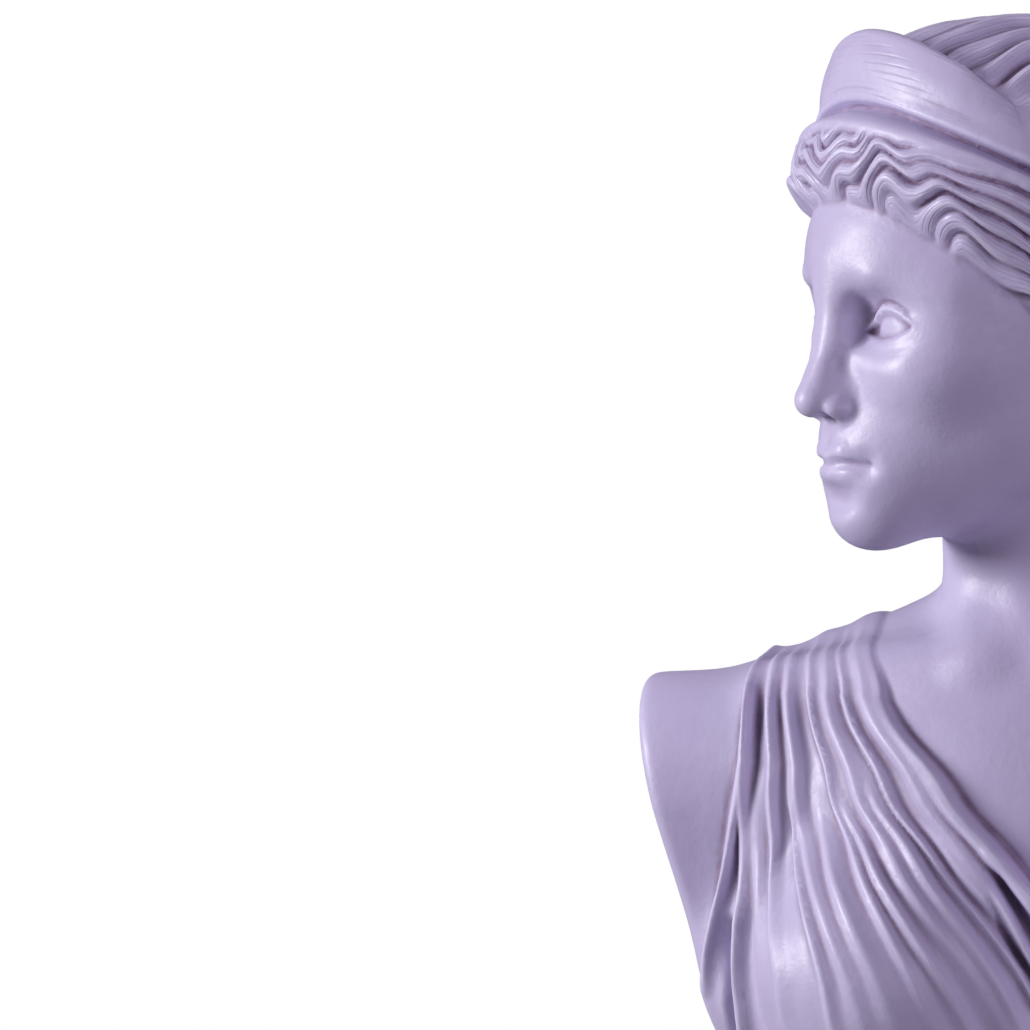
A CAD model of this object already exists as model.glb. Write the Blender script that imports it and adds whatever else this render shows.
import bmesh
import bpy
import math
import numpy as np
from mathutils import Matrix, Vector


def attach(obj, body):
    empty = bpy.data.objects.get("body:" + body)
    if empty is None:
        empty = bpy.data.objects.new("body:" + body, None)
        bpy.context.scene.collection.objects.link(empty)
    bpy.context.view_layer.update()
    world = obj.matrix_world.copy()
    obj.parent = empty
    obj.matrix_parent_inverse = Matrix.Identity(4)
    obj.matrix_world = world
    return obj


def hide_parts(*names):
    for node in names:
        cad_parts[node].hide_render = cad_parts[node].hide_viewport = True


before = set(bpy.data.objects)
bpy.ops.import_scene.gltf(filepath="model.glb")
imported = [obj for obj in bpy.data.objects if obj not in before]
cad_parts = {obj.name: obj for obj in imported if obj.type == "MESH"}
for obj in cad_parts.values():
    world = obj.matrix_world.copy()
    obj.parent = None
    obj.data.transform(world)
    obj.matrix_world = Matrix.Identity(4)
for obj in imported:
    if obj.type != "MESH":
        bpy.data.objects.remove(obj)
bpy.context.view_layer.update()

# The bust's form is worked out in millimetres, as the CAD is, and put in the scene in metres.
# The plain numbers inside the waves of locks, strands and folds are their paces and starts.
MM = 0.001

HEAD_CENTRE = (-10.0, -8.5, 240.0)
HEAD_TURN = math.radians(50)
HEAD_NOD = math.radians(3)
BROW_UP = 7.5
NOSE_BASE_UP = -17.0
MOUTH_UP = -25.5
EYE_SPACING = 12.2
HAIRLINE_FRONT = (36.0, 26.5)
HAIRLINE_EAR = (4.0, -3.0)
DIADEM = dict(radius=31.0, back=-5.0, low=45.3, drop=22.6, narrow=0.64, lean=0.22, belly=0.25, gone=-2.5)
DIADEM_TALL = [[0, 9.3], [26, 9.2], [47, 8.5], [62, 6.2], [70, 1.6], [79, -2], [86, -4]]
DIADEM_THICK = [[0, 2.5], [47, 2.4], [70, 1.6], [80, 1.1], [90, 0.6]]
LOCK = dict(width=2.7, height=1.9, sway=1.05, wave=12.5, slant=0.32, skew=0.12, crease=0.55, ribs=0.18)
HEAD_ROUND = 40
LOCKS_END = (-22, -4)
LOCKS_UNDER_RIM = (-8.0, -6.2)
RIM_GROOVE = dict(under=3.1, wide=1.2, deep=3.2)
RIM_ROLL = dict(under=5.2, wide=1.4, high=0.7)
FAR_TEMPLE_THINNER = 2.2
COIL = dict(turns=2, pace=0.35, high=1.5)
STRAND_ANGLE = 0.157
STRAND_HEIGHT = 3.2
ARM_CUT_TOP = (-81.5, 168.0)
ARM_CUT_LOW = (-67.0, 110.0)
DRESS_THICKNESS = 1.6
DRESS_FOLDS = 15
MANTLE_FOLDS = 22
MANTLE_THICKNESS = 3.6
PLINTH_SIDE = 54.0
PLINTH_HEIGHT = 12.5
PLINTH_CORNER = 9.0
PLINTH_EDGE = 1.6
SOCLE_TOP_Z = 60.0
SOCLE_TOP_RADIUS = 18.0
BEAD_RADIUS = 22.0
FOOT_RADIUS = 16.0


def ease(a, b, t):
    """0 up to a, 1 from b on, with a soft way between them."""
    k = np.clip((t - a) / (b - a), 0.0, 1.0)
    return k * k * (3.0 - 2.0 * k)


def bell(off, wide):
    """1 at no distance, falling softly to 0."""
    return np.exp(-(off / wide) ** 2)


def join(a, b, r):
    """Two forms as one, with a fillet of about r where they meet."""
    h = np.maximum(r - np.abs(a - b), 0.0) / r
    return np.minimum(a, b) - h * h * r * 0.25


def carve(a, b, r):
    """The first form with the second cut out of it."""
    return -join(-a, b, r)


def keep(a, b, r):
    """What lies inside both forms."""
    return -join(-a, -b, r)


def egg(p, c, r):
    """An egg shape with its centre at c and the three half widths r."""
    x = (p[0] - c[0]) / r[0]
    y = (p[1] - c[1]) / r[1]
    z = (p[2] - c[2]) / r[2]
    k0 = np.sqrt(x * x + y * y + z * z)
    k1 = np.sqrt((x / r[0]) ** 2 + (y / r[1]) ** 2 + (z / r[2]) ** 2)
    return k0 * (k0 - 1.0) / (k1 + 1e-9)


def limb(p, a, b, ra, rb):
    """A tapered rod with round ends from a to b."""
    d = [b[i] - a[i] for i in range(3)]
    q = [p[i] - a[i] for i in range(3)]
    t = (q[0] * d[0] + q[1] * d[1] + q[2] * d[2]) / (d[0] ** 2 + d[1] ** 2 + d[2] ** 2)
    t = np.clip(t, 0.0, 1.0)
    away = np.sqrt((q[0] - d[0] * t) ** 2 + (q[1] - d[1] * t) ** 2 + (q[2] - d[2] * t) ** 2)
    return away - ra - (rb - ra) * t


def along(steps, t):
    """A measure that changes along a list of places."""
    return np.interp(t, [s[0] for s in steps], [s[1] for s in steps])


def to_head(p):
    """A place in the bust as side, forward and up from the middle of the turned head."""
    x, y, z = p[0] - HEAD_CENTRE[0], p[1] - HEAD_CENTRE[1], p[2] - HEAD_CENTRE[2]
    side = x * math.cos(HEAD_TURN) - y * math.sin(HEAD_TURN)
    ahead = -x * math.sin(HEAD_TURN) - y * math.cos(HEAD_TURN)
    forward = ahead * math.cos(HEAD_NOD) - z * math.sin(HEAD_NOD)
    up = z * math.cos(HEAD_NOD) + ahead * math.sin(HEAD_NOD)
    return [side, forward, up]


def from_head(q):
    """A place given from the middle of the head as a place in the bust."""
    ahead = q[1] * math.cos(HEAD_NOD) + q[2] * math.sin(HEAD_NOD)
    z = q[2] * math.cos(HEAD_NOD) - q[1] * math.sin(HEAD_NOD)
    x = q[0] * math.cos(HEAD_TURN) - ahead * math.sin(HEAD_TURN)
    y = -q[0] * math.sin(HEAD_TURN) - ahead * math.cos(HEAD_TURN)
    return (HEAD_CENTRE[0] + x, HEAD_CENTRE[1] + y, HEAD_CENTRE[2] + z)


def steepness(steps, z):
    """How far a line of places runs sideways for each millimetre up."""
    return (along(steps, z + 2) - along(steps, z - 2)) / 4


def add_forms(d, m, forms):
    for name, at, size, blend in forms:
        d = join(d, egg(m, at, size), blend)
    return d


def cut_forms(d, m, forms):
    for name, at, size, blend in forms:
        d = carve(d, egg(m, at, size), blend)
    return d


def add_limbs(d, p, limbs):
    for name, a, b, ra, rb, blend in limbs:
        d = join(d, limb(p, a, b, ra, rb), blend)
    return d


SKULL = ((0, -4, 9), (29, 36.5, 34))
FACE_FORMS = [
    ("forehead", (0, 10, 13), (25.5, 25.8, 24), 8),
    ("middle of the face", (0, 9.5, -10), (24, 24.2, 26), 8),
    ("jaw", (0, 11, -24), (18.8, 22.4, 17.4), 8),
    ("chin", (0, 27.0, -35.2), (9.4, 8.6, 7.8), 7),
    ("jaw corner", (17, 0, -17), (8.0, 14, 13), 9),
    ("cheek", (14.5, 20.0, -8.5), (9.5, 10.0, 8.5), 7),
    ("temple", (20.0, 10, 3), (6.8, 13, 13), 9),
]
BROW = [
    ("brow by the nose", (3.4, 31.4, BROW_UP - 1.0), (11.5, 30.4, BROW_UP + 1.2), 1.7, 2.0, 4),
    ("brow to the temple", (11.5, 30.4, BROW_UP + 1.4), (22, 21.0, BROW_UP - 1.5), 2.2, 2.0, 4),
]
EYE_AT = (EYE_SPACING, 22.2, 0.0)
EYE_BALL = (8.0, 7.2, 7.0)
EYE_LID = (9.0, 8.3, 7.9)
EYE_HALF = 7.0
EYE_SLANT = 0.06
EYE_FRONT = 25
EYE_DEPTH = 1.1
LID_BLEND = 1.6
LID_TOP = 3.3
LID_LOW = 2.2
LID_FOLD = dict(up=1.7, wide=0.55, high=0.55)
LASH = dict(up=0.5, wide=0.6, deep=0.35)
SOCKETS = [
    ("eye socket", (EYE_SPACING + 0.4, 36.6, 1.8), (9.6, 8.4, 6.1), 5),
    ("inner corner", (6.6, 33.5, 1.6), (2.6, 4.6, 4.0), 3),
]
NOSE_RIDGE = [
    ("upper bridge", (0.8, 32.4, BROW_UP + 5), (1.0, 34.8, -1), 2.5, 2.2, 5),
    ("lower bridge", (1.0, 34.8, -1), (0.5, 39.8, NOSE_BASE_UP + 4.6), 2.2, 2.3, 3.0),
]
NOSE_FORMS = [
    ("sides", (0, 33.4, NOSE_BASE_UP + 4.8), (5.0, 6.4, 5.4), 3.5),
    ("tip", (0, 39.9, NOSE_BASE_UP + 3.4), (2.9, 3.0, 2.7), 2.0),
    ("wing", (4.0, 35.8, NOSE_BASE_UP + 2.4), (2.1, 3.4, 2.4), 1.2),
]
NOSTRIL = [("nostril", (2.5, 38.0, NOSE_BASE_UP - 0.5), (1.3, 2.4, 1.6), 1.0)]
MOUTH_FORMS = [("mound of the mouth", (0, 24.4, MOUTH_UP + 0.5), (12.8, 11.2, 11), 6)]
LIPS = [
    ("upper lip", (0.6, 34.9, MOUTH_UP + 1.9), (3.4, 34.3, MOUTH_UP + 2.3), 2.4, 2.3, 1.2),
    ("upper lip's end", (3.4, 34.3, MOUTH_UP + 2.3), (8.4, 31.2, MOUTH_UP + 0.3), 2.3, 0.8, 1.2),
    ("lower lip", (0, 34.2, MOUTH_UP - 2.7), (3.2, 33.5, MOUTH_UP - 2.6), 3.0, 2.7, 1.2),
    ("lower lip's end", (3.2, 33.5, MOUTH_UP - 2.6), (8.0, 30.9, MOUTH_UP - 0.6), 2.7, 0.8, 1.2),
]
PARTING = [
    ("line of the mouth", (0, 37.6, MOUTH_UP - 0.4), (3.4, 36.9, MOUTH_UP + 0.1), 0.8, 0.8, 0.9),
    ("line of the mouth's end", (3.4, 36.9, MOUTH_UP + 0.1), (8.8, 32.8, MOUTH_UP - 0.2), 0.8, 0.6, 0.9),
    ("groove of the lip", (0, 37.9, NOSE_BASE_UP - 1), (0, 38.0, MOUTH_UP + 4.4), 1.3, 1.5, 1.6),
]
MOUTH_HOLLOWS = [
    ("hollow over the chin", (0, 38.6, MOUTH_UP - 6.9), (7.5, 4.6, 2.4), 4),
    ("corner of the mouth", (10, 34.8, MOUTH_UP - 0.4), (2.2, 2.0, 2.2), 3),
]
EAR = ((27.4, -3.6, -9), (2.9, 6.0, 9.8))
EAR_LOBE = [("lobe", (26.8, -1.2, -17.2), (2.5, 2.9, 3.1), 2)]
EAR_HOLLOW = [("ear hollow", (30.8, -3.0, -8.5), (2.3, 3.5, 6.4), 1.2)]


def face(m, relief):
    d = add_forms(egg(m, *SKULL), m, FACE_FORMS)
    d = add_limbs(d, m, BROW)
    d = eyes(d, m, relief)
    d = nose(d, m)
    return mouth(d, m)


def eyes(skin, m, relief):
    """Lids over the eyeball, parted in an almond by the relief."""
    d = cut_forms(skin, m, SOCKETS)
    d = join(d, egg(m, EYE_AT, EYE_LID), LID_BLEND)
    if not relief:
        return d
    across = (m[0] - EYE_SPACING) / EYE_HALF
    arch = np.maximum(1 - across ** 2, -0.6)
    up = m[2] - EYE_SLANT * (m[0] - EYE_SPACING)
    in_front = ease(EYE_FRONT - 3, EYE_FRONT + 1, m[1])
    lid_edge = LID_TOP * arch
    almond = np.minimum(np.minimum(lid_edge - up, up + LID_LOW * arch), m[1] - EYE_FRONT)
    parted = ease(-0.45, 0.45, almond)
    fold = bell(up - lid_edge - LID_FOLD["up"], LID_FOLD["wide"]) * ease(-0.1, 0.4, arch) * in_front
    lash = bell(up - lid_edge - LASH["up"], LASH["wide"]) * ease(-0.3, 0.3, arch) * in_front
    lids = d + LID_FOLD["high"] * fold - LASH["deep"] * lash
    ball = np.minimum(egg(m, EYE_AT, EYE_BALL), d + EYE_DEPTH)
    return lids * (1 - parted) + ball * parted


def nose(skin, m):
    return cut_forms(add_forms(add_limbs(skin, m, NOSE_RIDGE), m, NOSE_FORMS), m, NOSTRIL)


def mouth(skin, m):
    d = add_limbs(add_forms(skin, m, MOUTH_FORMS), m, LIPS)
    d = cut_forms(d, m, MOUTH_HOLLOWS)
    for name, a, b, ra, rb, blend in PARTING:
        d = carve(d, limb(m, a, b, ra, rb), blend)
    return d


def ear(m):
    return add_forms(cut_forms(egg(m, *EAR), m, EAR_HOLLOW), m, EAR_LOBE)


def bare_head(m, relief):
    return join(face(m, relief), ear(m), 1.5)


def above_hairline(m):
    """How far a point lies above the line from the middle of the forehead to the ear."""
    run = HAIRLINE_FRONT[0] - HAIRLINE_EAR[0]
    rise = HAIRLINE_FRONT[1] - HAIRLINE_EAR[1]
    back = HAIRLINE_FRONT[0] - m[1]
    return (back * rise + (m[2] - HAIRLINE_FRONT[1]) * run) / math.hypot(run, rise)


def diadem_place(m):
    """The height of the diadem's lower rim, a point's way round it in radians, and how far out it lies."""
    ahead = m[1] - DIADEM["back"]
    turn = np.arctan2(m[0], ahead)
    low = DIADEM["low"] - DIADEM["drop"] * (1 - np.cos(turn))
    out = np.sqrt(m[0] ** 2 * DIADEM["narrow"] + ahead ** 2)
    return low, turn, out


def diadem(m, place):
    """A leaning band with a soft belly, tall in front and dying out behind the ears."""
    low, turn, out = place
    tall = along(DIADEM_TALL, np.degrees(turn))
    thick = along(DIADEM_THICK, np.degrees(turn))
    inward = -DIADEM["lean"] * tall
    px = out - DIADEM["radius"]
    pz = m[2] - low
    t = np.clip((px * inward + pz * tall) / (inward ** 2 + tall ** 2 + 0.01), 0, 1)
    size = ease(DIADEM["gone"], 1, tall)
    thick = thick * (1 + DIADEM["belly"] * np.sin(math.pi * t)) * size + DIADEM["gone"] * (1 - size)
    return np.hypot(px - inward * t, pz - tall * t) - thick


def crest_of(lane):
    """The height across locks or strands that lie side by side, with a sharp groove between them."""
    return np.sqrt(np.sin(math.pi * lane) ** 2 + 0.03) - 0.1


def lock_lane(m, above):
    """How many locks a point lies above the hairline, its way round the head, and a lock's narrowing."""
    turn = HEAD_ROUND * np.arctan2(m[0], m[1] + 2)
    pace = 2 * math.pi / LOCK["wave"]
    wave = pace * turn + above * 0.16
    wave = wave + 0.9 * np.sin(turn * 0.07 + 1.0) + 0.5 * np.sin(above * 0.62 + turn * 0.06)
    size = LOCK["sway"] * (0.8 + 0.35 * np.sin(turn * 0.08 + above * 0.1))
    size = size * (1 - 0.5 * ease(14, 60, turn)) * (0.65 + 0.35 * ease(3, 16, turn))
    drift = 1.0 * np.sin(turn * 0.11 + above * 0.2 + 0.6) + 0.5 * np.sin(turn * 0.31 - above * 0.1)
    swing = size * np.sin(wave + LOCK["skew"] * np.sin(wave))
    lane = (above - LOCK["slant"] * turn + swing + drift) / LOCK["width"]
    steep = size * pace * np.cos(wave) * (1 + LOCK["skew"] * np.cos(wave)) - LOCK["slant"]
    return lane, turn, 1 / np.sqrt(1 + steep ** 2)


def front_locks(m, above):
    """Wavy locks over the forehead, each of its own height, some with a deep crease beside them."""
    lane, turn, tight = lock_lane(m, above)
    number = np.floor(lane)
    own = 0.85 + 0.25 * np.sin(number * 2.4 + 0.5) + 0.2 * np.sin(turn * 0.19 + number * 1.7)
    crest = crest_of(lane)
    crease = (1 - crest) ** 2 * (0.5 + 0.5 * np.sin(np.round(lane) * 2.3 + 1 + 0.13 * turn))
    ribs = crest_of(2 * lane + 0.2 * np.sin(turn * 0.2 + number)) - 0.5
    return LOCK["height"] * tight * (own * crest - 0.5 - LOCK["crease"] * crease + LOCK["ribs"] * ribs)


def strand_lane(m):
    """How many strands a point of the crown lies from the middle of the head."""
    around = np.arctan2(m[0], m[2] - 10)
    wander = 0.05 * np.sin(m[1] * 0.13 + around * 3)
    wander = wander + 0.02 * np.sin(m[1] * 0.34 + 2.5 * np.sin(around * 5))
    return (around + wander) / STRAND_ANGLE


def share_of_locks(m, rim):
    """1 where the hair lies in locks under the diadem's rim, 0 where it is drawn back in strands."""
    return ease(*LOCKS_END, m[1]) * (1 - ease(rim - 4, rim + 4, m[2]))


def back_strands(m):
    """Broad strands of the crown, drawn back to the knot, with finer ones on them."""
    lane = strand_lane(m)
    number = np.floor(lane)
    own = 0.85 + 0.2 * np.sin(number * 2.1)
    crest = crest_of(lane)
    strands = crest_of(2 * lane + 0.3 * np.sin(m[1] * 0.15 + number))
    return STRAND_HEIGHT * (own * crest - 0.6) + 0.5 * (strands - 0.5) * crest


HAIR_FORMS = [
    ("sides", (0, -10, 5), (35, 35, 27), 8),
    ("nape", (0, -20, -2), (28, 24, 25), 8),
]
CROWN = ((0, -6, 24.5), (41.5, 42.4, 34))
KNOT = ((0, -49, 9), (17, 14, 15))


def hair(m, place, relief):
    """Locks over the forehead, a plain roll and a groove under the diadem, strands and a coiled knot."""
    above = above_hairline(m)
    ahead = share_of_locks(m, place[0])
    swell = 0.8 * np.exp(-((above - 7) ** 2) / 60) * ahead
    over_rim = m[2] - place[0]
    groove = bell(over_rim + RIM_GROOVE["under"], RIM_GROOVE["wide"]) * ease(-20, 0, m[1])
    roll = bell(over_rim + RIM_ROLL["under"], RIM_ROLL["wide"])
    ends = 0.5 + 0.5 * ease(0, 5, above)
    locks = front_locks(m, above) * (1 - ease(*LOCKS_UNDER_RIM, over_rim)) * ends * relief
    locks = locks + RIM_ROLL["high"] * roll
    d = add_forms(egg(m, *CROWN), m, HAIR_FORMS)
    hidden = (1 - ease(1, 5, DIADEM["radius"] - place[2])) * ease(-12, 0, m[1])
    strands = back_strands(m) * relief * (1 - hidden)
    d = d - (ahead * locks + (1 - ahead) * strands + swell - RIM_GROOVE["deep"] * groove)
    d = keep(d, -(above + 0.8 * locks), 6.5)
    over_knot = m[2] - KNOT[0][2]
    turn = np.arctan2(over_knot, m[0]) * COIL["turns"] + np.hypot(m[0], over_knot) * COIL["pace"]
    coil = COIL["high"] * (np.abs(np.sin(turn)) - 0.5) * relief
    return join(d, egg(m, *KNOT) - coil, 3)


TORSO = ((-5, 1, 120), (51, 32, 63))
CHEST_FORMS = [
    ("upper chest", (-7, -1, 150), (45, 26, 29), 12),
    ("her right breast", (-27, -23, 114), (21, 20, 23), 12),
    ("her left breast", (18, -12, 116), (17, 15, 21), 12),
    ("her right flank", (-42, 1, 108), (24, 24, 34), 10),
]
NAPE = from_head((0, -12, -18))
THROAT = from_head((0, -6, -26))
LIMBS = [
    ("her right shoulder", (-20, 6, 155), (-92, 5, 144.5), 18, 21, 12),
    ("her right arm", (-76, 5, 144), (-78, 6, 112), 21, 17, 10),
    ("her left shoulder", (20, 8, 157), (47, 13, 147), 17, 16.5, 14),
    ("neck", (2, 5, 160), THROAT, 18.2, 16.4, 9),
    ("nape", (2, 10, 172), NAPE, 16, 16, 8),
]
SHOULDER_LINES = [
    ("muscle over her right shoulder", (-53, 9, 161.2), (-38, 10, 166.8), 7.6, 8, 6),
    ("muscle from her right shoulder to the neck", (-38, 10, 166.8), (-17, 10, 176.2), 8, 8, 8),
    ("front of her right armpit", (-51, -4, 150), (-58, -3, 110), 11.5, 11.5, 9),
    ("slope of her right shoulder", (-4, 12, 178), (-56, 8, 151), 12.5, 9, 12),
    ("slope of her left shoulder", (4, 12, 178), (50, 14, 154), 12.5, 9, 12),
    ("her right collar bone", (-7, -16.5, 174), (-50, -7, 168), 2.6, 3, 9),
    ("her left collar bone", (7, -18, 175), (36, 2, 166), 2.6, 3, 8),
]
NECK_CORDS = [
    ("cord of the neck", (10 * side, -17.2, 173.5), from_head((23 * side, -11, -24)), 2.9, 3.2, 8)
    for side in (-1, 1)
]
THROAT_BASE = [("base of the throat", (0, -13, 186), (0, -15.5, 169), 3.2, 3.6, 8)]


def skin(p):
    """Neck, shoulders and trunk without any cloth."""
    d = add_forms(egg(p, *TORSO), p, CHEST_FORMS)
    return add_limbs(d, p, SHOULDER_LINES + LIMBS + NECK_CORDS + THROAT_BASE)


ARMHOLE = [[62, -50], [80, -60], [106, -66], [126, -62], [153, -57.4], [172, -57], [200, -57]]
NECKLINE = [[62, 60], [96, 38], [115, 20], [132, 3.5], [148, -10.5], [166, -27], [182, -33.5], [200, -34]]
BACK_NECK_Z = 182.0
BACK_FOLDS = 8
DRESS_KNOT = [("knot of the dress", (3.6, -34.5, 130), (3.6, 3.2, 3.4), 2.5)]
BOSOM = dict(x=-22.0, z=100.0, size=21.0, calm=0.85)
FOLD = dict(width=1.45, height=2.4, top=190, half_top=148, end=84, wander=0.12, crowding=0.22, skew=0.2)
BACK_FOLD_HEIGHT = 2.4
HEM = dict(inside=1.3, wide=1.0, high=0.8)
ARM_HEM = dict(inside=1.4, wide=1.0, high=1.0, ends=(80, 100))
ARM_HEM_GROOVE = dict(inside=4.0, wide=1.3, deep=0.6)
NARROWEST_STRAP = 8
THIN_ON_SHOULDER = 0.72

# Single folds and creases of the front: from (x, z) to (x, z), half width and height
CREASES = [
    ("pocket at the armhole", (-58.6, 121), (-57.6, 92), 1.5, -3.4),
    ("fold beside the pocket", (-55.0, 126), (-53.6, 90), 1.5, 1.5),
    ("deep crease under the knot", (-4.5, 136), (8, 113), 1.3, -3.2),
    ("ridge under the crease", (-5, 132), (7.5, 110.5), 0.9, 0.9),
    ("second crease", (-5.5, 129), (7, 107.5), 0.9, -1.7),
    ("roll beside the knot", (-5, 138.6), (4, 129.4), 1.3, 2.3),
]


def front_folds(p, share, width, flat):
    """Separate folds that fan out from the shoulder: each starts, swells, wanders and ends on its own."""
    total = 0
    crowding = 1 - FOLD["crowding"] * (1 - ease(112, 150, p[2]))
    for i in range(DRESS_FOLDS):
        odd = math.sin(i * 2.4 + 0.6)
        top = (FOLD["half_top"] if i % 2 else FOLD["top"]) - 6 * math.sin(i * 1.3)
        end = FOLD["end"] + 20 * (0.5 + 0.5 * math.sin(i * 2.9 + 1))
        middle = ((i + 0.75 + 0.16 * odd) / DRESS_FOLDS) ** crowding
        wander = FOLD["wander"] / DRESS_FOLDS * np.sin(p[2] * 0.062 + i * 1.9)
        across = (share - middle - wander) * width * flat
        half = FOLD["width"] * (0.85 + 0.3 * math.sin(i * 1.7)) * (0.55 + 0.0085 * width)
        off = across / half
        ridge = np.exp(-off ** 2 / (1 + FOLD["skew"] * np.tanh(off)) ** 2)
        reach = ease(end - 22, end + 14, p[2]) * (1 - ease(top - 18, top + 10, p[2]))
        total = total + FOLD["height"] * (0.85 + 0.35 * math.sin(i * 3.1)) * reach * ridge
    return total


def creases(p):
    """The single folds and creases, each full at its start and lower towards its end."""
    total = 0
    for name, a, b, wide, high in CREASES:
        dx, dz = b[0] - a[0], b[1] - a[1]
        t = np.clip(((p[0] - a[0]) * dx + (p[2] - a[1]) * dz) / (dx * dx + dz * dz), 0, 1)
        off = np.hypot(p[0] - a[0] - dx * t, p[2] - a[1] - dz * t) / wide
        total = total + high * np.exp(-off ** 2) * ease(0, 0.25, t + 0.1) * (1 - 0.5 * ease(0.75, 1, t))
    return total * (1 - ease(-16, -6, p[1]))


def back_folds(p):
    """Long folds that hang side by side down the back."""
    lane = (p[0] + 56) / 76 * BACK_FOLDS + 0.18 * np.sin(p[2] * 0.05 + p[0] * 0.08)
    number = np.round(lane)
    crest = (0.5 + 0.5 * np.cos(2 * math.pi * lane)) ** (1.2 + 0.5 * np.sin(number * 1.9))
    return BACK_FOLD_HEIGHT * crest * (0.8 + 0.25 * np.sin(number * 2.4 + p[2] * 0.045))


def dress_edges(p):
    """How far a point lies inside the nearest edge and the armhole, and the strap's width and slope."""
    armhole = along(ARMHOLE, p[2])
    ripple = 0.5 * np.sin(p[2] * 0.42) * ease(120, 150, p[2])
    neckline = along(NECKLINE, p[2]) + ripple + np.maximum(p[1] - 13, 0) * 6
    slope = steepness(NECKLINE, p[2])
    in_from_arm = p[0] - armhole
    in_from_neck = np.clip((neckline - p[0]) / np.sqrt(1 + slope ** 2), -40, 40)
    edge = np.minimum(np.minimum(in_from_arm, in_from_neck), BACK_NECK_Z - p[2])
    return edge, in_from_arm, np.maximum(neckline - armhole, NARROWEST_STRAP), slope


def dress(p, bare, relief):
    """Cloth over the skin, pinned on her right shoulder, with hems, folds and a knot at the neckline."""
    if not relief:
        return bare
    edge, in_from_arm, width, slope = dress_edges(p)
    cover = ease(-0.8, 0.8, edge)
    groove = ARM_HEM_GROOVE["deep"] * bell(in_from_arm - ARM_HEM_GROOVE["inside"], ARM_HEM_GROOVE["wide"])
    arm_hem = ARM_HEM["high"] * bell(in_from_arm - ARM_HEM["inside"], ARM_HEM["wide"]) - groove
    hem = HEM["high"] * bell(edge - HEM["inside"], HEM["wide"]) + arm_hem * ease(*ARM_HEM["ends"], p[2])
    share = in_from_arm / width
    lean = steepness(ARMHOLE, p[2]) * (1 - share) + slope * share
    back = ease(-6, 10, p[1])
    from_bosom = (p[0] - BOSOM["x"]) ** 2 + (p[2] - BOSOM["z"]) ** 2
    calm = 1 - BOSOM["calm"] * np.exp(-from_bosom / BOSOM["size"] ** 2)
    front = front_folds(p, share, width, 1 / np.sqrt(1 + lean ** 2)) * calm
    sway = 0.5 * np.sin(share * 17 + p[2] * 0.03) * calm
    fold = (front + sway) * (1 - back) + back_folds(p) * back
    thin = 1 - THIN_ON_SHOULDER * ease(160, 175, p[2])
    cloth = (DRESS_THICKNESS + fold * ease(0.2, 1.8, edge) + hem) * thin
    d = bare - cover * (cloth + creases(p))
    return add_forms(d, p, DRESS_KNOT)


MANTLE_CENTRE = (17, 5, 118)
MANTLE_RADII = (42, 29, 55)
MANTLE_RELIEF = 4.4
MANTLE_ROLL = 2
MANTLE_EDGE = [
    [62, -4], [85, 1], [105, 5], [125, 8], [145, 10], [160, 12], [172, 15], [180, 20], [186, 30], [200, 64],
]


def mantle(p, bare, relief):
    """Thick cloth round her left side, with long folds and a rolled edge."""
    dz = p[2] - MANTLE_CENTRE[2]
    around = np.arctan2(p[1], p[0] - 12)
    back = ease(0, 14, p[1])
    sway = 0.3 * np.sin(dz * 0.04 + around * 3) + 0.15 * np.sin(dz * 0.09 - around * 5)
    lane = around / (2 * math.pi) * MANTLE_FOLDS + sway * (1 - 0.7 * back)
    number = np.round(lane)
    crest = np.sqrt(np.cos(math.pi * lane) ** 2 + 0.02) - 0.08
    own = 0.75 + 0.28 * np.sin(number * 2.2 + dz * 0.03)
    fine = 0.4 * np.sin(2 * math.pi * 2.4 * lane + 2 * np.sin(number))
    fade = 1 - ease(44, 60, np.abs(dz))
    edge = p[0] - along(MANTLE_EDGE, p[2]) - 0.35 * np.maximum(p[1] - 6, 0)
    roll = MANTLE_ROLL * np.exp(-((edge - 4) ** 2) / 18)
    body = join(egg(p, MANTLE_CENTRE, MANTLE_RADII), bare - MANTLE_THICKNESS, 10)
    shaped = body - fade * relief * (MANTLE_RELIEF * (own * crest - 0.45) + fine) - roll * fade
    return keep(shaped, -edge, 5)


HEAD_REACH = -60
FOOT_HEIGHTS = (55, 84)
LOWER_WIDTH = [[56, 14], [61, 26], [68, 38], [80, 51], [98, 64], [120, 76], [160, 98]]


def envelope(p):
    """The cut through her right arm and the slope of the bust's lower sides."""
    run = ARM_CUT_LOW[0] - ARM_CUT_TOP[0]
    drop = ARM_CUT_TOP[1] - ARM_CUT_LOW[1]
    arm = -((p[0] - ARM_CUT_TOP[0]) * drop + (p[2] - ARM_CUT_TOP[1]) * run) / math.hypot(run, drop)
    low = (np.abs(p[0]) - along(LOWER_WIDTH, p[2])) * 0.72
    return keep(arm, low, 3)


def bust(p, relief=1):
    """The bust as a field in millimetres, under 0 inside, with the relief or without it."""
    bare = skin(p)
    d = join(dress(p, bare, relief), mantle(p, bare, relief), 1.5)
    d = keep(d, envelope(p), 3)
    foot = np.maximum(np.hypot(p[0], p[1]) - FOOT_RADIUS, p[2] - FOOT_HEIGHTS[1])
    foot = np.maximum(foot, FOOT_HEIGHTS[0] - p[2])
    d = join(d, foot, 9)
    near = p[2] > HEAD_CENTRE[2] + HEAD_REACH
    if near.any():
        q = to_head([c[near] for c in p])
        m = [np.abs(q[0]), q[1], q[2]]
        place = diadem_place(m)
        thinner = FAR_TEMPLE_THINNER * ease(6, 20, -q[0]) * ease(8, 20, q[1]) * (1 - ease(20, 30, q[2]))
        head = join(d[near], bare_head(m, relief), 4)
        head = join(head, hair(m, place, relief) + thinner, 0.8)
        d[near] = join(head, diadem(m, place), 0.8)
    return d


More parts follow.
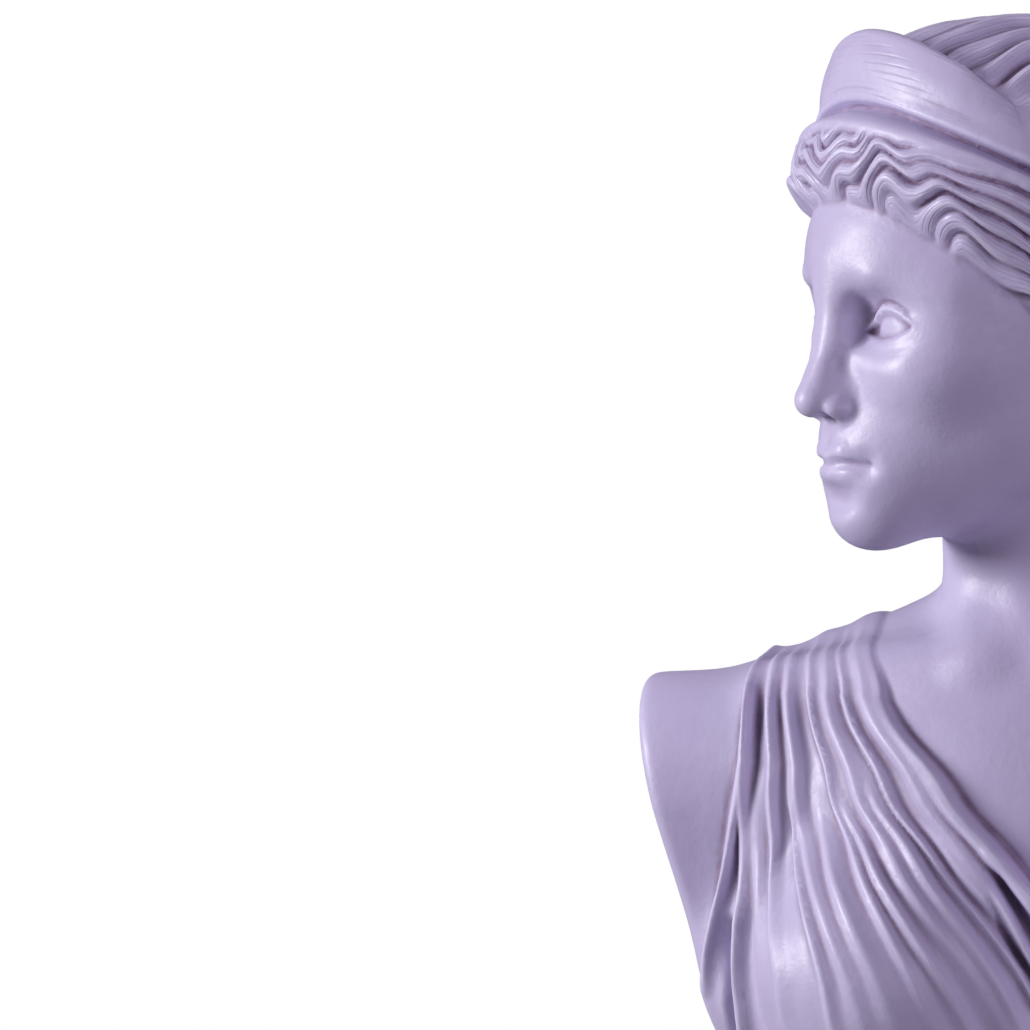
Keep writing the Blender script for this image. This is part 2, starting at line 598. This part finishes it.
def near_cells(field, low, count, step):
    """Grid cells that the field's surface may pass through, found from large blocks down to single cells."""
    size = 16
    starts = [np.arange(0, n, size) for n in count]
    cells = np.stack(np.meshgrid(*starts, indexing="ij"), -1).reshape(-1, 3)
    while True:
        centre = low + (cells + size / 2) * step
        reach = size * step * 1.3 + 0.6
        cells = cells[np.abs(field([centre[:, i].copy() for i in range(3)])) < reach]
        if size == 1:
            return cells[(cells < count - 1).all(1)]
        size //= 2
        halves = np.array([[i, j, k] for i in (0, size) for j in (0, size) for k in (0, size)])
        cells = (cells[:, None, :] + halves[None]).reshape(-1, 3)


CORNERS = np.array([[i, j, k] for i in (0, 1) for j in (0, 1) for k in (0, 1)])
AXIS_BIT = (4, 2, 1)
CELL_EDGES = [(a, axis) for a in range(8) for axis in range(3) if not a & AXIS_BIT[axis]]
CHUNK = 400000
NET_ROUNDS = 12


def skin_mesh(field, low, high, step):
    """Points and four-sided faces of the field's surface, by the surface nets method."""
    low = np.array(low, float)
    count = np.ceil((np.array(high) - low) / step).astype(int) + 1
    full = count + 3

    def code(c):
        return ((c[:, 0] + 1) * full[1] + c[:, 1] + 1) * full[2] + c[:, 2] + 1

    def crossed(cells):
        corners = (cells[:, None, :] + CORNERS[None]).reshape(-1, 3)
        unique, first, back = np.unique(code(corners), return_index=True, return_inverse=True)
        places = low + corners[first] * step
        value = np.empty(len(unique))
        for i in range(0, len(unique), CHUNK):
            part = places[i:i + CHUNK]
            value[i:i + CHUNK] = field([part[:, n].copy() for n in range(3)])
        v = value[back.reshape(-1, 8)]
        inside = v < 0
        mixed = inside.any(1) & ~inside.all(1)
        return cells[mixed], v[mixed]

    def ring(base, axis):
        u, w = [n for n in range(3) if n != axis]
        if axis == 1:
            u, w = w, u
        for du, dw in ((0, 0), (1, 0), (1, 1), (0, 1)):
            c = base.copy()
            c[:, u] -= du
            c[:, w] -= dw
            yield c

    cells, v = crossed(near_cells(field, low, count, step))
    for _ in range(NET_ROUNDS):
        inside = v < 0
        wanted = []
        for a, axis in CELL_EDGES:
            cross = inside[:, a] != inside[:, a | AXIS_BIT[axis]]
            wanted.extend(ring(cells[cross] + CORNERS[a], axis))
        wanted = np.concatenate(wanted)
        ids, first = np.unique(code(wanted), return_index=True)
        extra = wanted[first[~np.isin(ids, code(cells))]]
        extra = extra[((extra >= 0) & (extra < count - 1)).all(1)]
        more, more_v = crossed(extra) if len(extra) else (extra, extra)
        if len(more) == 0:
            break
        cells = np.concatenate([cells, more])
        v = np.concatenate([v, more_v])
    inside = v < 0
    total = np.zeros((len(cells), 3))
    hits = np.zeros(len(cells))
    for a, axis in CELL_EDGES:
        b = a | AXIS_BIT[axis]
        cross = inside[:, a] != inside[:, b]
        spot = CORNERS[a] + np.zeros((len(cells), 3))
        spot[:, axis] += v[:, a] / np.where(cross, v[:, a] - v[:, b], 1)
        total[cross] += spot[cross]
        hits[cross] += 1
    points = low + (cells + total / hits[:, None]) * step
    ids = code(cells)
    order = np.argsort(ids)
    ids = ids[order]
    faces = []
    for axis in range(3):
        cross = inside[:, 0] != inside[:, AXIS_BIT[axis]]
        corners = []
        whole = np.ones(cross.sum(), bool)
        for c in ring(cells[cross], axis):
            k = code(c)
            at = np.minimum(np.searchsorted(ids, k), len(ids) - 1)
            whole &= ids[at] == k
            corners.append(order[at])
        four = np.stack(corners, 1)
        outward = inside[cross, 0]
        four[~outward] = four[~outward][:, ::-1]
        faces.append(four[whole])
    return points, np.concatenate(faces)


STEP = 0.5
TRIANGLES = 194000
BUST_LOW = (-84.0, -56.0, 56.0)
BUST_HIGH = (80.0, 46.0, 303.0)
RELIEF_REACH = 5.0
MASK_BLUR = (4, 16)
HAIR_STRANDS = 4
DIADEM_STREAKS = 0.8
CROWN_WASH = 0.03
DIADEM_WASH = 0.3
HEM_BAND = 2.6
CORNER_KEPT = math.radians(80)
BASE_CORNER_KEPT = math.radians(32)


def plain_bust(p):
    """The form that the relief is pressed into."""
    return bust(p, 0)


def points_of(mesh, kind):
    """The mesh's places or normals, one row each, with places in millimetres."""
    values = np.empty(len(mesh.vertices) * 3, np.float32)
    mesh.vertices.foreach_get(kind, values)
    return values.reshape(-1, 3).astype(float) / (MM if kind == "co" else 1)


def press_relief(mesh):
    """Moves every point of the plain form along its normal by the height of the relief there."""
    place = points_of(mesh, "co")
    normal = points_of(mesh, "normal")
    shift = np.clip(-bust([place[:, i].copy() for i in range(3)]), -RELIEF_REACH, RELIEF_REACH)
    spot = (place + normal * shift[:, None]) * MM
    mesh.vertices.foreach_set("co", spot.astype(np.float32).ravel())
    mesh.update()


def blurred(values, edges, times):
    """Each point's values mixed with those of its neighbours, a few times over."""
    count = len(values)
    a, b = edges[:, 0], edges[:, 1]
    share = np.bincount(a, minlength=count) + np.bincount(b, minlength=count) + 1.0
    for _ in range(times):
        values = np.stack([
            (v + np.bincount(a, v[b], count) + np.bincount(b, v[a], count)) / share for v in values.T
        ], 1)
    return values


def paint_mask(mesh, name, value):
    """A number at every point that the paint reads."""
    layer = mesh.attributes.new(name, "FLOAT", "POINT")
    layer.data.foreach_set("value", value.astype(np.float32))


def paint_masks(mesh):
    """Where the wash settles, where the paint is rubbed, and the course of the hair's strands."""
    place = points_of(mesh, "co")
    normal = points_of(mesh, "normal")
    edges = np.empty(len(mesh.edges) * 2, np.int32)
    mesh.edges.foreach_get("vertices", edges)
    edges = edges.reshape(-1, 2)
    hollow = sum(((blurred(place, edges, times) - place) * normal).sum(1) for times in MASK_BLUR)
    paint_mask(mesh, "crest", np.clip(-hollow, 0, 2))
    q = to_head([place[:, i] for i in range(3)])
    m = [np.abs(q[0]), q[1], q[2]]
    rim, turn, out = diadem_place(m)
    over_rim = m[2] - rim
    off_diadem = diadem(m, (rim, turn, out))
    ahead = share_of_locks(m, rim)
    lane = np.where(ahead > 0.5, lock_lane(m, above_hairline(m))[0], strand_lane(m) * 2)
    covered = ease(0.8, 2.2, bare_head(m, 1)) * ease(0.8, 2.0, off_diadem)
    covered = covered * ease(0.1, 0.4, np.abs(ahead - 0.5))
    covered = covered * (1 - ahead * ease(*LOCKS_UNDER_RIM, over_rim))
    low = (m[2] < KNOT[0][2] - 30) | (place[:, 2] < HEAD_CENTRE[2] + HEAD_REACH)
    crown = np.where(low, 0, covered * (1 - ahead))
    course = np.sin(turn * 7 + over_rim * 0.9 + 1.5 * np.sin(over_rim * 0.5))
    streaks = 0.8 * ease(-0.2, 0.6, course) * (1 - ease(0.3, 0.7, off_diadem))
    band_lane = DIADEM_STREAKS * over_rim + 0.6 * np.sin(turn * 2.3 + over_rim * 0.35)
    paint_mask(mesh, "strand", np.where(off_diadem < 0.75, band_lane, lane * HAIR_STRANDS))
    paint_mask(mesh, "hair", np.where(low, 0, covered + streaks))
    paint_mask(mesh, "crevice", np.clip(hollow + CROWN_WASH * crown + DIADEM_WASH * streaks, 0, 2))


def deselect_all():
    if bpy.context.object and bpy.context.object.mode == "EDIT":
        bpy.ops.object.mode_set(mode="OBJECT")
    bpy.ops.object.select_all(action="DESELECT")


def take(piece):
    """Makes the piece the only selected one and the one that the next operator works on."""
    deselect_all()
    piece.select_set(True)
    bpy.context.view_layer.objects.active = piece


def apply(piece, kind, **values):
    """Adds a modifier with its values and applies it."""
    take(piece)
    modifier = piece.modifiers.new(kind.title(), kind)
    for key, value in values.items():
        setattr(modifier, key, value)
    bpy.ops.object.modifier_apply(modifier=modifier.name)


def smooth_points(piece, times):
    take(piece)
    bpy.ops.object.mode_set(mode="EDIT")
    bpy.ops.mesh.select_all(action="SELECT")
    bpy.ops.mesh.vertices_smooth(factor=0.5, repeat=times)
    bpy.ops.object.mode_set(mode="OBJECT")


def make_bust():
    """The plain form as a mesh, the relief pressed into it, cut flat over the socle and thinned."""
    points, faces = skin_mesh(plain_bust, BUST_LOW, BUST_HIGH, STEP)
    mesh = bpy.data.meshes.new("Bust")
    mesh.from_pydata((points * MM).tolist(), [], faces.tolist())
    piece = bpy.data.objects.new("Bust", mesh)
    bpy.context.scene.collection.objects.link(piece)
    smooth_points(piece, 5)
    press_relief(mesh)
    smooth_points(piece, 1)
    paint_masks(mesh)
    bpy.ops.object.mode_set(mode="EDIT")
    bpy.ops.mesh.select_all(action="SELECT")
    bpy.ops.mesh.bisect(
        plane_co=(0, 0, SOCLE_TOP_Z * MM), plane_no=(0, 0, 1), clear_inner=True, use_fill=True,
    )
    bpy.ops.mesh.select_all(action="SELECT")
    bpy.ops.mesh.quads_convert_to_tris()
    bpy.ops.object.mode_set(mode="OBJECT")
    spot = points_of(mesh, "co")
    edge = dress_edges([spot[:, i] for i in range(3)])[0]
    spare = piece.vertex_groups.new(name="Away from the hems")
    spare.add(np.flatnonzero(np.abs(edge) > HEM_BAND).tolist(), 1, "REPLACE")
    apply(piece, "DECIMATE", ratio=min(1, TRIANGLES / len(mesh.polygons)), vertex_group=spare.name)
    bpy.ops.object.shade_smooth_by_angle(angle=CORNER_KEPT)
    return piece


SOCLE_PROFILE_STEPS = 14
SOCLE_SIDES = 96
SOCLE_BEAD = 5.0
SOCLE_NECK = 11.5
SOCLE_CURVE = 2.2
SOCLE_SINK = 2
SOCLE_CAP = 6
CAP_OVERHANG = 2
CAP_EDGE = 1


def socle_profile():
    """Radius and height of the turned socle, from the plinth up, in millimetres."""
    profile = [(BEAD_RADIUS - SOCLE_BEAD, PLINTH_HEIGHT - SOCLE_SINK)]
    for i in range(SOCLE_PROFILE_STEPS + 1):
        a = math.pi * (i / SOCLE_PROFILE_STEPS - 0.5)
        profile.append((
            BEAD_RADIUS - SOCLE_BEAD + SOCLE_BEAD * math.cos(a),
            PLINTH_HEIGHT + SOCLE_BEAD + SOCLE_BEAD * math.sin(a),
        ))
    low = PLINTH_HEIGHT + 2 * SOCLE_BEAD + 1.5
    high = SOCLE_TOP_Z - SOCLE_CAP
    for i in range(2 * SOCLE_PROFILE_STEPS + 1):
        t = i / (2 * SOCLE_PROFILE_STEPS)
        wide = BEAD_RADIUS - SOCLE_BEAD if t < 0.5 else SOCLE_TOP_RADIUS - CAP_OVERHANG
        pull = abs(2 * t - 1) ** SOCLE_CURVE
        profile.append((SOCLE_NECK + (wide - SOCLE_NECK) * pull, low + (high - low) * t))
    profile.append((SOCLE_TOP_RADIUS, high + CAP_EDGE))
    profile.append((SOCLE_TOP_RADIUS, SOCLE_TOP_Z - CAP_EDGE))
    profile.append((SOCLE_TOP_RADIUS - CAP_EDGE, SOCLE_TOP_Z))
    return profile


def make_socle():
    """The turned socle: its lowest disc is extruded and resized from ring to ring of the profile."""
    profile = socle_profile()
    radius, height = profile[0]
    deselect_all()
    bpy.ops.mesh.primitive_circle_add(
        vertices=SOCLE_SIDES, radius=radius * MM, fill_type="NGON", location=(0, 0, height * MM),
    )
    bpy.ops.object.transform_apply()
    bpy.ops.object.mode_set(mode="EDIT")
    bpy.ops.mesh.select_all(action="SELECT")
    for next_radius, next_height in profile[1:]:
        rise = (0, 0, (next_height - height) * MM)
        bpy.ops.mesh.extrude_region_move(TRANSFORM_OT_translate={"value": rise})
        share = next_radius / radius
        bpy.ops.transform.resize(value=(share, share, 1), center_override=(0, 0, next_height * MM))
        radius, height = next_radius, next_height
    bpy.ops.mesh.select_all(action="SELECT")
    bpy.ops.mesh.normals_make_consistent(inside=False)
    bpy.ops.object.mode_set(mode="OBJECT")
    return bpy.context.object


def rise_of(edge):
    return abs(edge.verts[0].co.z - edge.verts[1].co.z)


def is_upright(edge):
    return rise_of(edge) > 0.5 * PLINTH_HEIGHT * MM


def is_rim(edge):
    """A level edge between the plinth's top or bottom and one of its sides."""
    flat = any(abs(face.normal.z) > 0.9 for face in edge.link_faces)
    side = any(abs(face.normal.z) < 0.1 for face in edge.link_faces)
    return rise_of(edge) < 0.1 * MM and flat and side


def bevel_where(piece, wanted, offset, segments):
    """Rounds the edges of the piece, in edit mode, that the test picks out."""
    bpy.ops.mesh.select_mode(type="EDGE")
    mesh = bmesh.from_edit_mesh(piece.data)
    bpy.ops.mesh.select_all(action="DESELECT")
    for edge in mesh.edges:
        edge.select_set(wanted(edge))
    bmesh.update_edit_mesh(piece.data)
    bpy.ops.mesh.bevel(offset=offset * MM, segments=segments, profile=0.5)


def make_plinth():
    """A square slab with rounded corners and softened rims."""
    deselect_all()
    bpy.ops.mesh.primitive_cube_add(size=1, location=(0, 0, PLINTH_HEIGHT / 2 * MM))
    piece = bpy.context.object
    piece.scale = (PLINTH_SIDE * MM, PLINTH_SIDE * MM, PLINTH_HEIGHT * MM)
    bpy.ops.object.transform_apply(location=True, rotation=False, scale=True)
    bpy.ops.object.mode_set(mode="EDIT")
    bevel_where(piece, is_upright, PLINTH_CORNER, 10)
    bevel_where(piece, is_rim, PLINTH_EDGE, 5)
    bpy.ops.object.mode_set(mode="OBJECT")
    return piece


def make_base():
    """Plinth and socle as one closed piece."""
    plinth = make_plinth()
    plinth.name = "Base"
    plinth.data.name = "Base"
    socle = make_socle()
    apply(plinth, "BOOLEAN", operation="UNION", object=socle, solver="EXACT")
    bpy.data.objects.remove(socle, do_unlink=True)
    take(plinth)
    bpy.ops.object.shade_smooth_by_angle(angle=BASE_CORNER_KEPT)
    return plinth


def new_group(name, inputs, outputs):
    """A shader node group with its sockets, and its input and output nodes."""
    group = bpy.data.node_groups.new(name, "ShaderNodeTree")
    for label, kind, value in inputs:
        socket = group.interface.new_socket(name=label, in_out="INPUT", socket_type=kind)
        if value is not None:
            socket.default_value = value
    for label, kind in outputs:
        group.interface.new_socket(name=label, in_out="OUTPUT", socket_type=kind)
    return group, group.nodes.new("NodeGroupInput"), group.nodes.new("NodeGroupOutput")


def noise(nodes, links, place, scale, detail=2.0, roughness=0.5):
    node = nodes.new("ShaderNodeTexNoise")
    node.inputs["Scale"].default_value = scale
    node.inputs["Detail"].default_value = detail
    node.inputs["Roughness"].default_value = roughness
    links.new(place, node.inputs["Vector"])
    return node.outputs["Fac"]


def spread(nodes, links, value, low, high, to_low=0.0, to_high=1.0):
    """A value's range from low to high, spread over another range and held at its ends."""
    node = nodes.new("ShaderNodeMapRange")
    node.inputs["From Min"].default_value = low
    node.inputs["From Max"].default_value = high
    node.inputs["To Min"].default_value = to_low
    node.inputs["To Max"].default_value = to_high
    links.new(value, node.inputs["Value"])
    return node.outputs["Result"]


def work_out(nodes, links, operation, a, b):
    """One step of arithmetic on two values, each a number or a socket."""
    node = nodes.new("ShaderNodeMath")
    node.operation = operation
    for socket, value in zip(node.inputs, (a, b)):
        if isinstance(value, (int, float)):
            socket.default_value = value
        else:
            links.new(value, socket)
    return node.outputs[0]


def blend_colour(nodes, links, factor, a, b):
    node = nodes.new("ShaderNodeMix")
    node.data_type = "RGBA"
    links.new(factor, node.inputs["Factor"])
    links.new(a, node.inputs["A"])
    links.new(b, node.inputs["B"])
    return node.outputs["Result"]


CLOUD_SCALE = 42
STREAK_SCALE = 260
GRAIN_SCALE = 1500
GROOVE_WASH = 0.16
GROOVE_DEPTH = 1.4
GRAIN_HEIGHT = 0.4
PAINT_ROUGHNESS = (0.38, 0.48)
WASH_ROUGHER = 0.25


def brushed_paint_group():
    """Paint over a cast: uneven cover, darker in the crevices, rubbed paler on the crests."""
    group, start, end = new_group(
        "Brushed paint",
        [
            ("Place", "NodeSocketVector", None),
            ("Crevice", "NodeSocketFloat", 0.0),
            ("Crest", "NodeSocketFloat", 0.0),
            ("Strand", "NodeSocketFloat", 0.0),
            ("Hair", "NodeSocketFloat", 0.0),
            ("Paint", "NodeSocketColor", (1, 1, 1, 1)),
            ("Rubbed paint", "NodeSocketColor", (1, 1, 1, 1)),
            ("Settled wash", "NodeSocketColor", (0, 0, 0, 1)),
            ("Unevenness", "NodeSocketFloat", 0.3),
        ],
        [("Colour", "NodeSocketColor"), ("Roughness", "NodeSocketFloat"), ("Relief", "NodeSocketFloat")],
    )
    nodes, links = group.nodes, group.links
    place = start.outputs["Place"]
    clouds = spread(nodes, links, noise(nodes, links, place, CLOUD_SCALE, 4, 0.6), 0.34, 0.68)
    fine = spread(nodes, links, noise(nodes, links, place, STREAK_SCALE, 3, 0.6), 0.3, 0.7)
    grain = noise(nodes, links, place, GRAIN_SCALE)
    cover = work_out(nodes, links, "MULTIPLY", clouds, start.outputs["Unevenness"])
    rubbed = spread(nodes, links, start.outputs["Crest"], 0.1, 0.6, 0, 0.8)
    rubbed = work_out(nodes, links, "MULTIPLY", rubbed, spread(nodes, links, fine, 0, 1, 0.6, 1))
    pale = work_out(nodes, links, "MAXIMUM", cover, rubbed)
    colour = blend_colour(nodes, links, pale, start.outputs["Paint"], start.outputs["Rubbed paint"])
    turn = work_out(nodes, links, "MULTIPLY", start.outputs["Strand"], math.pi)
    groove = work_out(nodes, links, "ABSOLUTE", work_out(nodes, links, "SINE", turn, 0), 0)
    groove = work_out(nodes, links, "MULTIPLY", spread(nodes, links, groove, 0.55, 0), start.outputs["Hair"])
    wash = spread(nodes, links, start.outputs["Crevice"], 0.13, 0.7, 0, 0.9)
    wash = work_out(nodes, links, "MULTIPLY", wash, spread(nodes, links, fine, 0, 1, 0.75, 1))
    wash = work_out(nodes, links, "MAXIMUM", wash, work_out(nodes, links, "MULTIPLY", groove, GROOVE_WASH))
    colour = blend_colour(nodes, links, wash, colour, start.outputs["Settled wash"])
    links.new(colour, end.inputs["Colour"])
    rough = spread(nodes, links, fine, 0, 1, *PAINT_ROUGHNESS)
    rough = work_out(nodes, links, "ADD", rough, work_out(nodes, links, "MULTIPLY", wash, WASH_ROUGHER))
    links.new(rough, end.inputs["Roughness"])
    relief = work_out(nodes, links, "ADD", work_out(nodes, links, "MULTIPLY", grain, GRAIN_HEIGHT), fine)
    groove = work_out(nodes, links, "MULTIPLY", groove, GROOVE_DEPTH)
    relief = work_out(nodes, links, "SUBTRACT", relief, groove)
    links.new(relief, end.inputs["Relief"])
    return group


LAVENDER = (0.47, 0.41, 0.62)
PALE_LAVENDER = (0.60, 0.55, 0.76)
PLUM_WASH = (0.17, 0.10, 0.19)
BRUSH_RELIEF = 0.12 * MM


def lavender_paint(name, group, unevenness):
    """Satin lavender with a plum wash in the hollows, as the masks of the piece place them."""
    material = bpy.data.materials.new(name)
    material.use_nodes = True
    nodes, links = material.node_tree.nodes, material.node_tree.links
    shader = nodes["Principled BSDF"]
    place = nodes.new("ShaderNodeTexCoord").outputs["Object"]
    mix = nodes.new("ShaderNodeGroup")
    mix.node_tree = group
    mix.inputs["Paint"].default_value = (*LAVENDER, 1)
    mix.inputs["Rubbed paint"].default_value = (*PALE_LAVENDER, 1)
    mix.inputs["Settled wash"].default_value = (*PLUM_WASH, 1)
    mix.inputs["Unevenness"].default_value = unevenness
    links.new(place, mix.inputs["Place"])
    for label in ("crevice", "crest", "strand", "hair"):
        mask = nodes.new("ShaderNodeAttribute")
        mask.attribute_name = label
        links.new(mask.outputs["Fac"], mix.inputs[label.title()])
    bump = nodes.new("ShaderNodeBump")
    bump.inputs["Distance"].default_value = BRUSH_RELIEF
    bump.inputs["Strength"].default_value = 0.5
    links.new(mix.outputs["Relief"], bump.inputs["Height"])
    links.new(mix.outputs["Colour"], shader.inputs["Base Color"])
    links.new(mix.outputs["Roughness"], shader.inputs["Roughness"])
    links.new(bump.outputs["Normal"], shader.inputs["Normal"])
    shader.inputs["Specular IOR Level"].default_value = 0.4
    return material


def place_on_frame(piece, node, material):
    """Gives the piece its paint, body, slot and the CAD node that it stands for."""
    piece.data.materials.clear()
    piece.data.materials.append(material)
    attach(piece, "root")
    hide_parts(node)


paint_group = brushed_paint_group()
bust_paint = lavender_paint("Lavender cast", paint_group, 0.3)
place_on_frame(make_bust(), "bust", bust_paint)
base_paint = lavender_paint("Lavender base", paint_group, 0.4)
place_on_frame(make_base(), "base", base_paint)


FLOOR_RADIUS = 6.0
FLOOR_FADE = (0.05, 0.32)
FLOOR_SEEN = 0.86
FLOOR_BOUNCE = 0.3
FLOOR_ROUGHNESS = 0.7
WHITE = (1, 1, 1, 1)


def make_floor():
    """A pale floor that fades into the white of the studio far behind the object."""
    deselect_all()
    bpy.ops.mesh.primitive_circle_add(vertices=128, radius=FLOOR_RADIUS, fill_type="NGON")
    floor = bpy.context.object
    floor.name = "Floor"
    material = bpy.data.materials.new("Pale floor")
    material.use_nodes = True
    nodes, links = material.node_tree.nodes, material.node_tree.links
    shader = nodes["Principled BSDF"]
    ray = nodes.new("ShaderNodeLightPath").outputs["Is Camera Ray"]
    links.new(spread(nodes, links, ray, 0, 1, FLOOR_BOUNCE, FLOOR_SEEN), shader.inputs["Base Color"])
    shader.inputs["Roughness"].default_value = FLOOR_ROUGHNESS
    place = nodes.new("ShaderNodeTexCoord").outputs["Object"]
    length = nodes.new("ShaderNodeVectorMath")
    length.operation = "LENGTH"
    links.new(place, length.inputs[0])
    fade = spread(nodes, links, length.outputs["Value"], *FLOOR_FADE)
    glow = nodes.new("ShaderNodeEmission")
    glow.inputs["Color"].default_value = WHITE
    links.new(studio_strength(nodes, links), glow.inputs["Strength"])
    mix = nodes.new("ShaderNodeMixShader")
    links.new(fade, mix.inputs["Fac"])
    links.new(shader.outputs["BSDF"], mix.inputs[1])
    links.new(glow.outputs["Emission"], mix.inputs[2])
    links.new(mix.outputs["Shader"], nodes["Material Output"].inputs["Surface"])
    floor.data.materials.append(material)


STUDIO_SEEN = 1.0
STUDIO_LIGHT = 0.08


def studio_strength(nodes, links):
    """White where the camera looks at it, softer as light on the object."""
    ray = nodes.new("ShaderNodeLightPath").outputs["Is Camera Ray"]
    return spread(nodes, links, ray, 0, 1, STUDIO_LIGHT, STUDIO_SEEN)


def make_world():
    """The white studio round the object."""
    world = bpy.data.worlds.new("Studio")
    bpy.context.scene.world = world
    world.use_nodes = True
    nodes, links = world.node_tree.nodes, world.node_tree.links
    background = nodes["Background"]
    background.inputs["Color"].default_value = WHITE
    links.new(studio_strength(nodes, links), background.inputs["Strength"])


VIEW_TURN = math.radians(15)
VIEW_LIFT = math.radians(3)
VIEW_TARGET = Vector((-100.4, -27.0, 201.6)) * MM
VIEW_WIDTH = 202 * MM
VIEW_DISTANCE = 0.95
TOWARDS_CAMERA = Vector((
    math.sin(VIEW_TURN) * math.cos(VIEW_LIFT),
    -math.cos(VIEW_TURN) * math.cos(VIEW_LIFT),
    math.sin(VIEW_LIFT),
))
CAMERA_RIGHT = Vector((math.cos(VIEW_TURN), math.sin(VIEW_TURN), 0))
SENSOR_WIDTH = 36


def aim(thing, target):
    """Turns a camera or a light towards a place."""
    thing.rotation_euler = (target - thing.location).to_track_quat("-Z", "Y").to_euler()


def make_camera():
    """The camera at the photograph's angle, with its whole frame VIEW_WIDTH wide at the target."""
    deselect_all()
    bpy.ops.object.camera_add(location=VIEW_TARGET + TOWARDS_CAMERA * VIEW_DISTANCE)
    camera = bpy.context.object
    camera.name = "Camera"
    aim(camera, VIEW_TARGET)
    camera.data.sensor_width = SENSOR_WIDTH
    camera.data.lens = SENSOR_WIDTH * VIEW_DISTANCE / VIEW_WIDTH
    camera.data.clip_start = 0.01
    bpy.context.scene.camera = camera


BUST_MIDDLE = Vector((0, 0, 190)) * MM
COOL_TINT = (0.93, 0.84, 1.0)


def softbox(name, right, near, up, size, power, tint=(1, 1, 1)):
    """An area light placed from the camera's side: to its right, towards it and up, in metres."""
    deselect_all()
    place = BUST_MIDDLE + CAMERA_RIGHT * right + TOWARDS_CAMERA * near + Vector((0, 0, up))
    bpy.ops.object.light_add(type="AREA", location=place)
    light = bpy.context.object
    light.name = name
    light.data.size = size
    light.data.energy = power
    light.data.color = tint
    aim(light, BUST_MIDDLE)


def make_lights():
    softbox("Key light", -1.15, 0.16, 0.25, 0.4, 16.4)
    softbox("Front fill", 0.65, 1.0, 0.05, 0.6, 5.8, COOL_TINT)
    softbox("Back light", 0.75, -0.9, 0.5, 0.6, 5.0)
    softbox("Top light", 0.1, -0.1, 0.95, 0.4, 2.4, COOL_TINT)


make_floor()
make_world()
make_lights()
make_camera()
bpy.context.scene.view_settings.view_transform = "Standard"
